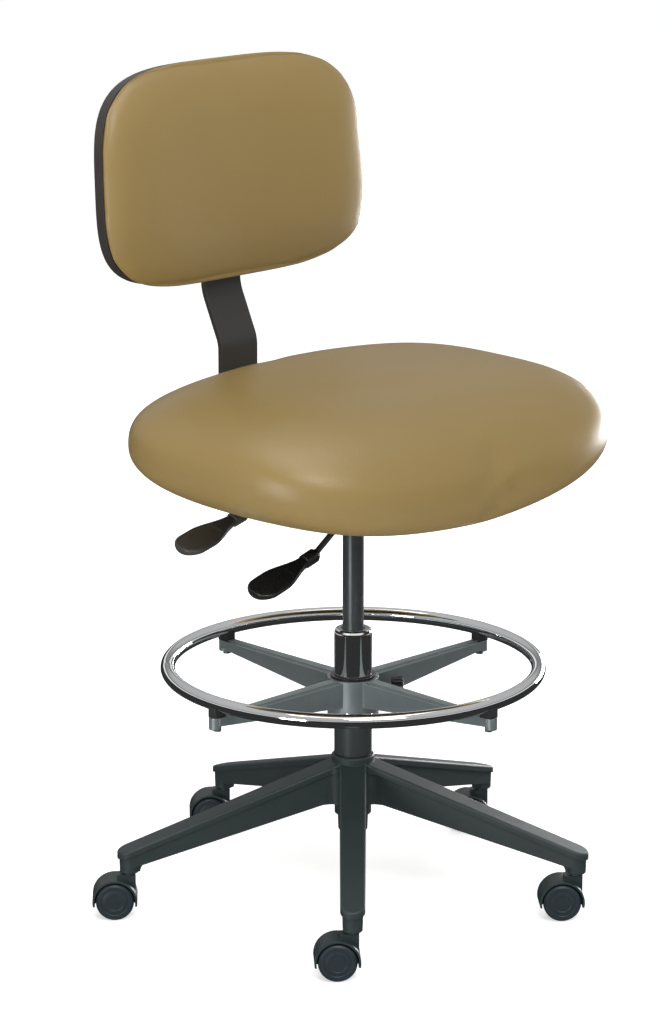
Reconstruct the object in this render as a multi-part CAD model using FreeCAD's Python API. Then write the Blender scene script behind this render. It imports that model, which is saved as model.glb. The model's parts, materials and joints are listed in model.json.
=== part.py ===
"""Adjustable swivel stool: five-arm caster base, gas lift, foot ring, seat and backrest.

Millimetres. +Z is up, the origin is on the floor on the column's axis, and the seat faces -Y.
Every piece is built where it stands and written to its own file, parts/NODE.step.
"""
import FreeCAD, Part
import math
import os

# ---------------------------------------------------------------- driving dimensions
base_heading = 224.0         # direction of the first base arm, degrees from +X
base_arms = 5
stem_circle = 308.0          # radius of the circle of caster stems
hub_radius = 28.5
hub_top = 194.0
hub_bottom = 130.0
hub_sleeve_radius = 24.5     # moulded collar under the hub
hub_sleeve_bottom = 112.0
arm_root_top = 193.0         # height of an arm's top line on the column's axis
arm_tip_top = 95.0          # the same line on the stem circle
arm_heel_radius = 46.0       # where the arm's underside starts to slope
arm_tip_bottom = 69.0        # the underside's height at the boss
arm_tip_round = 12.0         # hollow radius between that underside and the boss
flange_half_root = 18.0      # half width of the arm's top flange on the column's axis
flange_half_tip = 15.8
flange_depth = 9.0
flange_overhang = 3.0        # how far the flange stands out past the web on each side
flange_round = 3.0
web_corner = 13.0            # radius between neighbouring webs
arm_wall = 3.6
rib_radii = (85.0, 135.0, 185.0, 235.0)
rib_thickness = 3.0
rib_recess = 6.0             # ribs stop this far above the web's lower edge
boss_radius = 12.6
boss_flare = 0.8             # the boss is this much wider at its top
boss_chamfer = 1.2
boss_bottom = 61.0
arm_start = 10.0             # arms reach in to this radius
side_room = 60.0             # half width that clears everything near one arm

wheel_radius = 25.0
wheel_width = 15.5
wheel_round = 3.0
wheel_cap = 2.5              # what closes the bore on the outer face
wheel_dish_radius = 15.5
wheel_dish = 0.8             # depth of the dish in the outer face
wheel_gap = 0.8              # between a wheel and the hood's middle web
caster_heading = 137.0       # direction the wheels trail in, degrees from +X
caster_trail = 19.5
hood_radius = 29.5
hood_wall = 2.6
hood_half_width = 20.0
hood_web_half = 5.0
hood_skirt = 19.0            # height of the skirts' lower edges
hood_block_half = 8.0
axle_radius = 3.5
stem_radius = 5.5
stem_collar_radius = 8.0
stem_collar_height = 1.6
stem_engagement = 25.0       # how far a stem goes into its socket
socket_wall = 1.5
running_clearance = 0.05     # radial clearance of anything that turns or slides on a shaft
body_gap = 0.3               # space between pieces that move past each other

column_radius = 25.0
column_wall = 3.0
column_foot_radius = 19.5
column_foot = 89.0
column_step = 196.0          # where the tube's taper ends above the hub
sleeve_bottom = 305.0        # joint between the lower tube and the chrome sleeve
sleeve_top = 367.0
sleeve_lip = 3.0
sleeve_groove = 1.0
bush_length = 66.0
foot_plate_thickness = 3.0
bearing_thickness = 4.0
bearing_radius = 11.0

cylinder_radius = 14.0
cylinder_wall = 1.5
cylinder_bottom = 206.0
cylinder_top = 564.0
cylinder_taper_length = 34.0
cylinder_taper_top_radius = 13.2
cylinder_end = 12.0
rod_radius = 5.0
rod_end_radius = 4.0
piston_radius = 12.2
piston_bottom = 312.0
piston_height = 10.0
valve_pin_radius = 3.0
valve_pin_proud = 5.0
valve_depth = 30.0           # solid end of the cylinder that the valve sits in
valve_stroke = 2.5

ring_outer_radius = 254.0
ring_tube_radius = 9.5
ring_height = 315.8
spider_heading = 179.0       # direction of the foot ring's first arm
spider_arms = 4
spider_hub_radius = 34.0
spider_hub_bottom = 246.0
spider_hub_top = 304.0
spider_top = 301.0
spider_root_bottom = 266.0
spider_tip_bottom = 289.0
spider_half_root = 13.0
spider_half_tip = 9.0
spider_wall = 3.0
spider_rib_half = 5.0
spider_rib_height = 2.0
spider_boss_radius = 8.0
spider_boss_bottom = 283.0
ring_bush_wall = 2.0
ring_screw_radius = 3.0
ring_screw_depth = 8.0       # how far a screw goes into the ring's tube
clamp_heading = 314.0
clamp_height = 278.0
clamp_boss_radius = 11.0
clamp_boss_length = 16.0
clamp_stud_radius = 4.0
clamp_knob_radius = 21.0
clamp_knob_width = 16.0
knob_lobes = 12
knob_round = 2.0
knob_groove_radius = 2.2

housing_half_width = 45.0
housing_front = -76.0
housing_rear = 112.0
housing_bottom = 543.0
housing_top = 583.0
housing_wall = 3.0
socket_hub_radius = 20.0
socket_hub_bottom = 530.0
seat_plate_length = 230.0
seat_plate_width = 200.0
seat_plate_thickness = 3.0
seat_bolt_radius = 3.0
seat_bolt_x = 85.0
seat_bolt_y = 95.0

seat_half_width = 318.0
seat_half_depth = 220.0
seat_forward = 34.0          # how far the seat's middle lies in front of the column
seat_exponent = 3.2          # squareness of the seat's outline
seat_middle = 637.0          # height of the cushion's widest line
seat_crown = 77.0            # cushion's top above that line
seat_belly = 87.0            # how far its rounded underside would reach below, were it whole
seat_top_exponent = 2.7
seat_belly_exponent = 2.2
seat_end_exponent = 2.5      # rounding towards the front and rear ends
seat_slope = 0.02            # the cushion rises this much of its length to the rear
board_thickness = 12.0
board_half_width = 200.0
board_half_depth = 148.0
cover_margin = 8.0           # dust cover past the board's edge
dust_cover_thickness = 1.0
nose_drop = 31.0             # how far the cushion's middle falls away at the waterfall front
nose_start = 0.2             # where that begins, as a share of the half depth

lever_rod_radius = 4.0
lever_pivot_x = -30.0
lever_pivot_z = 564.0
lever_pin_radius = 3.0
lever_boss_radius = 6.0
lever_boss_half = 10.0
tongue_end = 8.0             # how far the height lever's tongue reaches past the valve pin
height_lever_y = -52.0
back_lever_y = 30.0
height_lever_bend = (-127.0, 499.0)    # X and Z where the rod enters the paddle
back_lever_bend = (-174.0, 547.0)
paddle_length = 112.0
paddle_half_width = 21.0
paddle_neck_half = 8.0
paddle_thickness = 11.0
paddle_roll = 14.0           # the front edge hangs lower than the rear one by this angle
height_paddle_slope = 16.0
back_paddle_slope = 14.0

bar_width = 66.0
bar_thickness = 7.0
bar_pivot_y = 95.0
bar_pivot_z = 556.0
bar_pin_radius = 5.0
bar_knuckle_radius = 9.0
bar_back_y = 214.5
bar_bend_z = 721.0
bar_lean_top = 789.0         # height where the leaning part meets the upper part
bar_top = 998.0

back_centre_z = 950.0
back_rear_y = 253.0
back_recline = 5.0
back_half_width = 235.0
back_half_height = 143.0
back_exponent = 3.7
back_taper = 0.035           # the pad is this share narrower at the top and wider at the bottom
back_curve_radius = 1300.0
back_thickness = 43.0        # from the shell's rear face to the pad's crown
shell_wall = 4.0
shell_rim_depth = 15.0
shell_rim_wall = 3.5
back_end_round = 70.0        # length of the pad's rounding at its two ends
bracket_drop = 50.0          # bracket's middle below the pad's middle
bracket_half_height = 35.0
bracket_flange_half = 52.0
bracket_wall = 2.7
bracket_channel_wall = 5.0   # round the bar's sides and back
bracket_screw_x = 46.0
bracket_screw_z = 25.0
bracket_screw_radius = 2.5
back_knob_radius = 19.0
back_knob_width = 15.0
back_stud_radius = 3.0

section_points = 48          # points round one section of a cushion

Z_AXIS = FreeCAD.Vector(0, 0, 1)
ORIGIN = FreeCAD.Vector(0, 0, 0)
nodes = {}


# ---------------------------------------------------------------- helpers
def vec(x, y, z):
    return FreeCAD.Vector(x, y, z)


def upright(radius, low, high, x=0.0, y=0.0):
    """A solid cylinder along Z."""
    return Part.makeCylinder(radius, high - low, vec(x, y, low))


def across(radius, start, end, axis, x=0.0, y=0.0, z=0.0):
    """A solid cylinder along X or Y, from start to end on that axis."""
    foot = vec(start, y, z) if axis == "x" else vec(x, start, z)
    way = vec(1, 0, 0) if axis == "x" else vec(0, 1, 0)
    return Part.makeCylinder(radius, end - start, foot, way)


def block(x0, x1, y0, y1, z0, z1):
    return Part.makeBox(x1 - x0, y1 - y0, z1 - z0, vec(x0, y0, z0))


def prism(points, way):
    """A closed polygon pushed along a vector."""
    wire = Part.makePolygon(points + [points[0]])
    return Part.Face(wire).extrude(way)


def turned(profile):
    """A solid of revolution about Z from (radius, height) corners."""
    wire = Part.makePolygon([vec(r, 0, z) for r, z in profile + [profile[0]]])
    return Part.Face(wire).revolve(ORIGIN, Z_AXIS, 360)


def spun(shape, angle, centre=ORIGIN, axis=Z_AXIS):
    copy = shape.copy()
    copy.rotate(centre, axis, angle)
    return copy


def moved(shape, x, y, z):
    copy = shape.copy()
    copy.translate(vec(x, y, z))
    return copy


def line_height(radius, near, far):
    """Height at a radius of the straight line through two (radius, height) points."""
    return near[1] + (far[1] - near[1]) * (radius - near[0]) / (far[0] - near[0])


def superellipse(half_x, half_y, exponent, z, centre_y=0.0, taper=0.0, count=48):
    """A closed smooth wire; taper narrows it towards +Y."""
    points = []
    for i in range(count):
        angle = 2 * math.pi * i / count
        c, s = math.cos(angle), math.sin(angle)
        x = half_x * math.copysign(abs(c) ** (2 / exponent), c)
        y = half_y * math.copysign(abs(s) ** (2 / exponent), s)
        points.append(vec(x * (1 - taper * y / half_y), y + centre_y, z))
    curve = Part.BSplineCurve()
    curve.interpolate(points, PeriodicFlag=True)
    return Part.Wire(curve.toShape())


def closed_curve(points):
    """A smooth closed wire through points."""
    curve = Part.BSplineCurve()
    curve.interpolate(points, PeriodicFlag=True)
    return Part.Wire(curve.toShape())


def bent_strip(points, radii, thickness, width):
    """A strip of even thickness bent in the YZ plane, centred on X.

    points are the centre line's corners and radii the bend radius at each inner corner.
    """
    half = thickness / 2
    edges_left, edges_right = [], []
    start = points[0]
    for i in range(1, len(points)):
        way = (points[i] - points[i - 1]).normalize()
        normal = vec(0, -way.z, way.y)
        if i == len(points) - 1:
            stop = points[i]
        else:
            after = (points[i + 1] - points[i]).normalize()
            turn = way.getAngle(after)
            reach = radii[i - 1] * math.tan(turn / 2)
            stop = points[i] - way * reach
        edges_left.append(Part.makeLine(start + normal * half, stop + normal * half))
        edges_right.append(Part.makeLine(start - normal * half, stop - normal * half))
        if i < len(points) - 1:
            side = 1 if way.cross(after).x > 0 else -1
            centre = stop + normal * side * radii[i - 1]
            leave = points[i] + after * reach
            after_normal = vec(0, -after.z, after.y)
            middle_way = (way + after).normalize()
            middle_normal = vec(0, -middle_way.z, middle_way.y)
            for edges, sign in ((edges_left, 1), (edges_right, -1)):
                radius = radii[i - 1] - sign * side * half
                middle = centre - middle_normal * side * radius
                edges.append(Part.Arc(stop + normal * sign * half, middle,
                                      leave + after_normal * sign * half).toShape())
            start = leave
    ends = [Part.makeLine(edges_left[0].Vertexes[0].Point, edges_right[0].Vertexes[0].Point),
            Part.makeLine(edges_left[-1].Vertexes[-1].Point, edges_right[-1].Vertexes[-1].Point)]
    wire = Part.Wire(Part.__sortEdges__(edges_left + edges_right + ends))
    face = Part.Face(wire)
    face.translate(vec(-width / 2, 0, 0))
    return face.extrude(vec(width, 0, 0))


def fused(shapes):
    return shapes[0].multiFuse(shapes[1:]).removeSplitter()


def put(name, shape):
    """Keep a node; a group of separate solids stays a compound."""
    solids = shape.Solids
    nodes[name] = solids[0] if len(solids) == 1 else Part.makeCompound(solids)


def horizontal_edges(shape, z, tolerance=0.01):
    return [e for e in shape.Edges
            if abs(e.BoundBox.ZMin - z) < tolerance and abs(e.BoundBox.ZMax - z) < tolerance]


# ---------------------------------------------------------------- base
def arm_top(radius):
    return line_height(radius, (0, arm_root_top), (stem_circle, arm_tip_top))


def arm_bottom(radius):
    return line_height(radius, (arm_heel_radius, hub_bottom), (stem_circle, arm_tip_bottom))


def flange_half(radius):
    return line_height(radius, (0, flange_half_root), (stem_circle, flange_half_tip))


def web_half(radius):
    return flange_half(radius) - flange_overhang


def side_prism(corners, half):
    """A prism whose side view, in the XZ plane, has these (radius, height) corners."""
    return prism([vec(r, -half, z) for r, z in corners], vec(0, 2 * half, 0))


def plan_prism(corners, low, high):
    """A prism whose plan has these (x, y) corners."""
    return prism([vec(x, y, low) for x, y in corners], vec(0, 0, high - low))


def tapered_plan(start, end, half_at, low, high, inset=0.0):
    near, far = half_at(start) - inset, half_at(end) - inset
    return plan_prism([(start, -near), (end, -far), (end, far), (start, near)], low, high)


def rounded_plan(start, end, half_at, low, high):
    """A tapered plan that ends in a half circle about (end, 0), tangent to both flanks."""
    slope = half_at(0) - half_at(1)
    stretch = math.hypot(1, slope)
    radius = half_at(end) / stretch
    touch_x, touch_y = end + radius * slope / stretch, radius / stretch
    near = half_at(start)
    edges = [Part.makeLine(vec(start, -near, low), vec(touch_x, -touch_y, low)),
             Part.Arc(vec(touch_x, -touch_y, low), vec(end + radius, 0, low),
                      vec(touch_x, touch_y, low)).toShape(),
             Part.makeLine(vec(touch_x, touch_y, low), vec(start, near, low)),
             Part.makeLine(vec(start, near, low), vec(start, -near, low))]
    return Part.Face(Part.Wire(edges)).extrude(vec(0, 0, high - low))


def corner_fill(half_at, radius, low, high):
    """The rounded corner between an arm and the next one, tangent to both flanks."""
    half_angle = math.pi / base_arms
    slope = half_at(0) - half_at(1)
    stretch = math.hypot(1, slope)
    reach = (radius * stretch + half_at(0)) / (math.sin(half_angle) + slope * math.cos(half_angle))
    centre = (reach * math.cos(half_angle), reach * math.sin(half_angle))
    touch_x = centre[0] - radius * slope / stretch
    touch_y = centre[1] - radius / stretch
    mirror = 2 * half_angle
    other = (touch_x * math.cos(mirror) + touch_y * math.sin(mirror),
             touch_x * math.sin(mirror) - touch_y * math.cos(mirror))
    wedge = plan_prism([(0, 0), (touch_x, touch_y), centre, other], low, high)
    return wedge.cut(upright(radius, low - 1, high + 1, centre[0], centre[1]))


def base_arm_solid():
    start, end = arm_start, stem_circle
    past = end + 2 * flange_half_tip
    above = hub_top + 20
    flange_side = side_prism([(start, arm_top(start) - flange_depth), (start, arm_top(start)),
                              (past, arm_top(past)), (past, arm_top(past) - flange_depth)], side_room)
    flange = flange_side.common(rounded_plan(start, end, flange_half, 0, above))
    upper_edges = [e for e in flange.Edges if e.CenterOfMass.x > start + 1
                   and all(abs(v.Z - arm_top(v.X)) < 0.01 for v in e.Vertexes)]
    flange = flange.makeFillet(flange_round, upper_edges)
    web_side = side_prism([(start, hub_bottom), (start, arm_top(start) - flange_depth / 2),
                           (end, arm_top(end) - flange_depth / 2), (end, arm_bottom(end)),
                           (arm_heel_radius, hub_bottom)], side_room)
    web = web_side.common(tapered_plan(start, end, web_half, 0, above))
    boss_top = arm_top(end) - 0.6 * flange_depth
    boss = turned([(0, boss_bottom), (boss_radius - boss_chamfer, boss_bottom),
                   (boss_radius, boss_bottom + boss_chamfer), (boss_radius + boss_flare, boss_top),
                   (0, boss_top)])
    return [flange, web, tip_fillet(), moved(boss, end, 0, 0)]


def tip_fillet():
    """The hollow rounding where the arm's underside runs down into the boss."""
    face = stem_circle - boss_radius
    slope = (arm_bottom(0) - arm_bottom(stem_circle)) / stem_circle
    stretch = math.hypot(1, slope)
    centre_x = face - arm_tip_round
    centre_z = arm_bottom(centre_x) - arm_tip_round * stretch
    touch_x = centre_x + arm_tip_round * slope / stretch
    half = boss_radius * 0.64
    fill = side_prism([(centre_x, centre_z), (touch_x, arm_bottom(touch_x)),
                       (touch_x, arm_bottom(touch_x) + flange_depth / 4),
                       (stem_circle, arm_bottom(touch_x) + flange_depth / 4), (stem_circle, centre_z)], half)
    return fill.cut(across(arm_tip_round, -half - 1, half + 1, "y", centre_x, 0, centre_z))


def base_arm_hollow():
    """The pockets under one arm, between its ribs."""
    start, end = hub_radius + arm_wall + 6, stem_circle - boss_radius - arm_wall
    top = arm_wall + flange_depth / 2
    side = side_prism([(start, 0), (start, arm_top(start) - top), (end, arm_top(end) - top), (end, 0)],
                      side_room)
    hollow = side.common(tapered_plan(start, end, web_half, 0, hub_top, arm_wall))
    for radius in rib_radii:
        hollow = hollow.cut(block(radius - rib_thickness / 2, radius + rib_thickness / 2,
                                  -side_room, side_room, arm_bottom(radius) + rib_recess, hub_top))
    return hollow


def stem_places():
    for i in range(base_arms):
        angle = math.radians(base_heading + 360.0 * i / base_arms)
        yield stem_circle * math.cos(angle), stem_circle * math.sin(angle)


def column_outside(z):
    """Radius of the column tube's tapered foot at a height inside the hub."""
    return line_height(z, (column_foot, column_foot_radius), (column_step, column_radius - 1.5))


def column_foot_solid(low, high):
    return turned([(0, low), (column_outside(low), low), (column_outside(high), high), (0, high)])


socket_radius = stem_radius + running_clearance + socket_wall
socket_top = boss_bottom + stem_engagement + 3.0


def make_base():
    pieces = [turned([(0, hub_bottom), (hub_radius, hub_bottom), (hub_radius, hub_top - 1.5),
                      (hub_radius - 1.5, hub_top), (0, hub_top)]),
              upright(hub_sleeve_radius, hub_sleeve_bottom, hub_bottom)]
    step = 360.0 / base_arms
    flange_top = arm_top(hub_radius + 8)
    web_fill = corner_fill(web_half, web_corner, hub_bottom, flange_top - flange_depth / 2)
    flange_fill = corner_fill(flange_half, web_corner - flange_overhang,
                              flange_top - flange_depth, flange_top - 1.0)
    arm = fused(base_arm_solid() + [web_fill, flange_fill])
    pieces += [spun(arm, base_heading + step * i) for i in range(base_arms)]
    casting = fused(pieces)
    casting = casting.cut(column_foot_solid(column_foot, column_step))
    for i in range(base_arms):
        casting = casting.cut(spun(base_arm_hollow(), base_heading + step * i))
    for x, y in stem_places():
        casting = casting.cut(upright(socket_radius, boss_bottom - 1, socket_top, x, y))
    put("base_casting", casting)
    sockets = []
    for x, y in stem_places():
        tube = upright(socket_radius, boss_bottom, socket_top, x, y)
        sockets.append(tube.cut(upright(stem_radius + running_clearance, boss_bottom - 1,
                                        socket_top + 1, x, y)))
    put("caster_sockets", Part.makeCompound(sockets))


# ---------------------------------------------------------------- casters
def caster_pieces():
    """One caster with its stem on the Z axis and its wheels trailing along +X."""
    centre = caster_trail
    outside = across(hood_radius, -hood_half_width, hood_half_width, "y", centre, 0, wheel_radius)
    inside_radius = hood_radius - hood_wall
    room = across(inside_radius, hood_web_half, hood_half_width + 1, "y", centre, 0, wheel_radius)
    room = room.fuse(across(inside_radius, -hood_half_width - 1, -hood_web_half, "y", centre, 0,
                            wheel_radius))
    hood = outside.cut(room)
    hood = hood.cut(block(centre - side_room, centre + side_room, -side_room, side_room, -10, hood_skirt))
    collar_bottom = boss_bottom - body_gap - stem_collar_height
    neck_height = collar_bottom - wheel_radius
    neck = block(-hood_block_half, hood_block_half + 8, -hood_block_half, hood_block_half,
                 wheel_radius, wheel_radius + neck_height)
    neck_edges = [e for e in neck.Edges if abs(e.BoundBox.ZLength - neck_height) < 0.01
                  and e.CenterOfMass.x < 0]
    neck = neck.makeFillet(3.0, neck_edges)
    hood = fused([hood, neck.cut(room)])
    hub = across(axle_radius + 3, -hood_web_half - 0.3, hood_web_half + 0.3, "y", centre, 0, wheel_radius)
    hood = fused([hood, hub])
    hood = hood.cut(across(axle_radius, -40, 40, "y", centre, 0, wheel_radius))
    stem_foot = wheel_radius + 10
    hood = hood.cut(upright(stem_radius, stem_foot, 100))
    stem = turned([(0, stem_foot), (stem_radius, stem_foot), (stem_radius, collar_bottom),
                   (stem_collar_radius, collar_bottom), (stem_collar_radius, boss_bottom - body_gap),
                   (stem_radius, boss_bottom - body_gap), (stem_radius, boss_bottom + stem_engagement - 3),
                   (stem_radius - 1.5, boss_bottom + stem_engagement), (0, boss_bottom + stem_engagement)])
    axle_half = hood_web_half + wheel_gap + wheel_width - wheel_cap - 1.0
    axle = across(axle_radius, -axle_half, axle_half, "y", centre, 0, wheel_radius)
    wheels = []
    for side in (-1, 1):
        near = hood_web_half + wheel_gap
        wheel = Part.makeCylinder(wheel_radius, wheel_width, vec(centre, side * near, wheel_radius),
                                  vec(0, side, 0))
        rims = [e for e in wheel.Edges if e.Closed and abs(e.Length - 2 * math.pi * wheel_radius) < 0.1]
        wheel = wheel.makeFillet(wheel_round, rims)
        bore = Part.makeCylinder(axle_radius + running_clearance, wheel_width - wheel_cap,
                                 vec(centre, side * near, wheel_radius), vec(0, side, 0))
        dish = Part.makeCylinder(wheel_dish_radius, wheel_dish,
                                 vec(centre, side * (near + wheel_width - wheel_dish), wheel_radius),
                                 vec(0, side, 0))
        wheels.append(wheel.cut(bore).cut(dish))
    return {"stem": stem, "hood": hood, "axle": axle, "wheel_right": wheels[0], "wheel_left": wheels[1]}


def make_casters():
    pieces = caster_pieces()
    for number, (x, y) in enumerate(stem_places(), start=1):
        for name, shape in pieces.items():
            put(f"caster_{number}_{name}", moved(spun(shape, caster_heading), x, y, 0))


# ---------------------------------------------------------------- column and gas lift
def make_column():
    inner = column_radius - column_wall
    shoulder = column_step + 2.0
    foot_top = column_outside(column_step)
    tube = turned([(0, column_foot), (column_outside(column_foot), column_foot), (foot_top, column_step),
                   (column_radius, column_step), (column_radius, sleeve_bottom), (0, sleeve_bottom)])
    hollow = turned([(0, column_foot - 1), (column_foot_radius - column_wall, column_foot - 1),
                     (column_foot_radius - column_wall, column_step - 20), (inner, shoulder + 12),
                     (inner, sleeve_bottom + 1), (0, sleeve_bottom + 1)])
    put("column_tube", tube.cut(hollow))
    groove = sleeve_top - 5.0
    sleeve = turned([(inner, sleeve_bottom), (column_radius, sleeve_bottom),
                     (column_radius, groove - sleeve_groove), (column_radius - sleeve_groove, groove),
                     (column_radius - 0.6, groove + sleeve_groove), (column_radius - 1.2, sleeve_top - 1.5),
                     (column_radius - 3.5, sleeve_top), (cylinder_radius + 2, sleeve_top),
                     (cylinder_radius + 2, sleeve_top - sleeve_lip), (inner, sleeve_top - sleeve_lip)])
    put("column_sleeve", sleeve)
    bush_top = sleeve_top - sleeve_lip
    bush = upright(inner, bush_top - bush_length, bush_top)
    put("guide_bush", bush.cut(upright(cylinder_radius + running_clearance, 0, 1000)))
    plate_radius = column_foot_radius - column_wall
    plate_top = column_foot + foot_plate_thickness
    plate = upright(plate_radius, column_foot, plate_top)
    put("column_foot_plate", plate.cut(upright(rod_end_radius + running_clearance, 0, 200)))
    bearing_top = plate_top + bearing_thickness
    ring = upright(bearing_radius, plate_top, bearing_top)
    put("thrust_bearing", ring.cut(upright(rod_end_radius + running_clearance, 0, 200)))

    rod_shoulder = bearing_top + body_gap
    clip_top = column_foot - body_gap
    clip_bottom = clip_top - 1.5
    rod_foot = clip_bottom - 2.0
    rod = turned([(0, rod_foot), (rod_end_radius, rod_foot), (rod_end_radius, rod_shoulder),
                  (rod_radius, rod_shoulder), (rod_radius, piston_bottom), (piston_radius, piston_bottom),
                  (piston_radius, piston_bottom + piston_height), (0, piston_bottom + piston_height)])
    put("piston_rod", rod)
    clip = upright(rod_end_radius + 4, clip_bottom, clip_top).cut(upright(rod_end_radius, 0, 200))
    put("rod_clip", clip.cut(block(-rod_end_radius * 0.8, rod_end_radius * 0.8, 0, 20, 0, 200)))

    cylinder_inner = cylinder_radius - cylinder_wall
    taper_bottom = cylinder_top - cylinder_taper_length
    valve_bottom = cylinder_top - valve_depth
    body = turned([(0, cylinder_bottom), (cylinder_radius - 1, cylinder_bottom),
                   (cylinder_radius, cylinder_bottom + 1), (cylinder_radius, taper_bottom),
                   (cylinder_taper_top_radius, cylinder_top), (0, cylinder_top)])
    chamber = upright(cylinder_inner, cylinder_bottom + cylinder_end, valve_bottom)
    rod_hole = upright(rod_radius + running_clearance, cylinder_bottom - 1,
                       cylinder_bottom + cylinder_end + 1)
    pin_hole = upright(valve_pin_radius + running_clearance, valve_bottom - 1, cylinder_top + 1)
    put("gas_cylinder", body.cut(chamber).cut(rod_hole).cut(pin_hole))
    pin_top = cylinder_top + valve_pin_proud
    pin = turned([(0, valve_bottom + valve_stroke), (valve_pin_radius, valve_bottom + valve_stroke),
                  (valve_pin_radius, pin_top - 0.6), (valve_pin_radius - 1.2, pin_top), (0, pin_top)])
    put("valve_pin", pin)


# ---------------------------------------------------------------- foot ring
def spider_bottom(radius):
    return line_height(radius, (spider_hub_radius, spider_root_bottom),
                       (ring_outer_radius, spider_tip_bottom))


def spider_half(radius):
    return line_height(radius, (spider_hub_radius, spider_half_root), (ring_outer_radius, spider_half_tip))


def spider_arm_solid(boss_at):
    start, end = 20.0, boss_at
    flat_top = spider_top - spider_rib_height
    side = side_prism([(start, spider_root_bottom), (start, flat_top), (end, flat_top),
                       (end, spider_bottom(end)), (spider_hub_radius, spider_root_bottom)], 40)
    arm = side.common(tapered_plan(start, end, spider_half, 200, 400))
    rib = block(start, end, -spider_rib_half, spider_rib_half, flat_top - 1, spider_top)
    boss = upright(spider_boss_radius, spider_boss_bottom, flat_top, boss_at)
    boss = boss.makeFillet(1.5, horizontal_edges(boss, spider_boss_bottom))
    hollow_start, hollow_end = spider_hub_radius + spider_wall, boss_at - spider_boss_radius - 2
    hollow = side_prism([(hollow_start, 200), (hollow_start, flat_top - spider_wall),
                         (hollow_end, flat_top - spider_wall), (hollow_end, 200)], 40)
    hollow = hollow.common(tapered_plan(hollow_start, hollow_end, spider_half, 200, 400, spider_wall))
    return fused([arm, rib, boss]).cut(hollow)


def make_footring():
    ring_radius = ring_outer_radius - ring_tube_radius
    ring = Part.makeTorus(ring_radius, ring_tube_radius, vec(0, 0, ring_height))
    boss_at = ring_radius + 4.0
    bush_outer = column_radius + running_clearance + ring_bush_wall
    angles = [spider_heading + 360.0 * i / spider_arms for i in range(spider_arms)]
    arm = spider_arm_solid(boss_at)
    pieces = [upright(spider_hub_radius, spider_hub_bottom, spider_top)]
    pieces += [spun(arm, angle) for angle in angles]
    clamp_boss = Part.makeCylinder(clamp_boss_radius, clamp_boss_length + 4,
                                   vec(spider_hub_radius - 4, 0, clamp_height), vec(1, 0, 0))
    pieces.append(spun(clamp_boss, clamp_heading))
    spider = fused(pieces).cut(upright(bush_outer, spider_hub_bottom - 1, spider_hub_top))
    stud_end = spider_hub_radius + clamp_boss_length + body_gap + clamp_knob_width * 0.6
    stud_start = column_radius + body_gap
    stud = Part.makeCylinder(clamp_stud_radius, stud_end - stud_start,
                             vec(stud_start, 0, clamp_height), vec(1, 0, 0))
    stud_room = Part.makeCylinder(clamp_stud_radius + running_clearance, stud_end,
                                  vec(0, 0, clamp_height), vec(1, 0, 0))
    spider = spider.cut(spun(stud_room, clamp_heading))
    screw_hole = upright(ring_screw_radius, 200, 400, ring_radius)
    for angle in angles:
        spider = spider.cut(spun(screw_hole, angle))

    bush = upright(bush_outer, spider_hub_bottom, spider_hub_top)
    bush = fused([bush, upright(bush_outer + 3, spider_top, spider_hub_top)])
    bush = bush.cut(upright(column_radius + running_clearance, 200, 400))
    put("footring_bush", bush.cut(spun(stud_room, clamp_heading)))

    saddle = block(ring_radius - 9, ring_radius + 9, -7, 7, spider_top - spider_rib_height, ring_height)
    rib_room = block(ring_radius - 20, boss_at, -spider_rib_half, spider_rib_half,
                     spider_top - spider_rib_height - 1, spider_top)
    saddle = saddle.cut(rib_room).cut(upright(ring_screw_radius, 200, 400, ring_radius))
    saddles, screws = [], []
    screw_top = ring_height - ring_tube_radius + ring_screw_depth
    flat_top = spider_top - spider_rib_height
    head_top = flat_top - spider_wall
    for angle in angles:
        saddles.append(spun(saddle, angle).cut(ring).Solids[0])
        shank = upright(ring_screw_radius, head_top - 10, screw_top, ring_radius)
        head = upright(ring_screw_radius + 2, head_top - 16, head_top - 10, ring_radius)
        screws.append(spun(fused([shank, head]), angle))
    put("footring_pads", Part.makeCompound(saddles))
    head_room = upright(ring_screw_radius + 2, 200, head_top - 10, ring_radius)
    for angle in angles:
        spider = spider.cut(spun(head_room, angle))
    put("footring_spider", spider)
    put("footring_screws", Part.makeCompound(screws))
    for screw in screws:
        ring = ring.cut(screw)
    put("footring_tube", ring)

    knob_start = spider_hub_radius + clamp_boss_length + body_gap
    knob = moved(ribbed_knob(clamp_knob_radius, clamp_knob_width), knob_start, 0, clamp_height)
    put("clamp_knob", spun(knob.cut(stud), clamp_heading))
    put("clamp_stud", spun(stud, clamp_heading))


def ribbed_knob(radius, width):
    """A knob along +X from the origin, with finger grooves and its outer rim rounded."""
    knob = Part.makeCylinder(radius, width, ORIGIN, vec(1, 0, 0))
    rims = [e for e in knob.Edges if e.Closed and abs(e.BoundBox.XMin - width) < 0.01]
    knob = knob.makeFillet(knob_round, rims)
    groove = Part.makeCylinder(knob_groove_radius, width + 2, vec(-1, radius + knob_groove_radius * 0.4, 0),
                               vec(1, 0, 0))
    for i in range(knob_lobes):
        knob = knob.cut(spun(groove, 360.0 * i / knob_lobes, ORIGIN, vec(1, 0, 0)))
    return knob


# ---------------------------------------------------------------- mechanism
def lever_slot(y, top):
    return block(-housing_half_width - 1, -housing_half_width + housing_wall + 1, y - 7, y + 7,
                 housing_bottom - 1, top)


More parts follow.
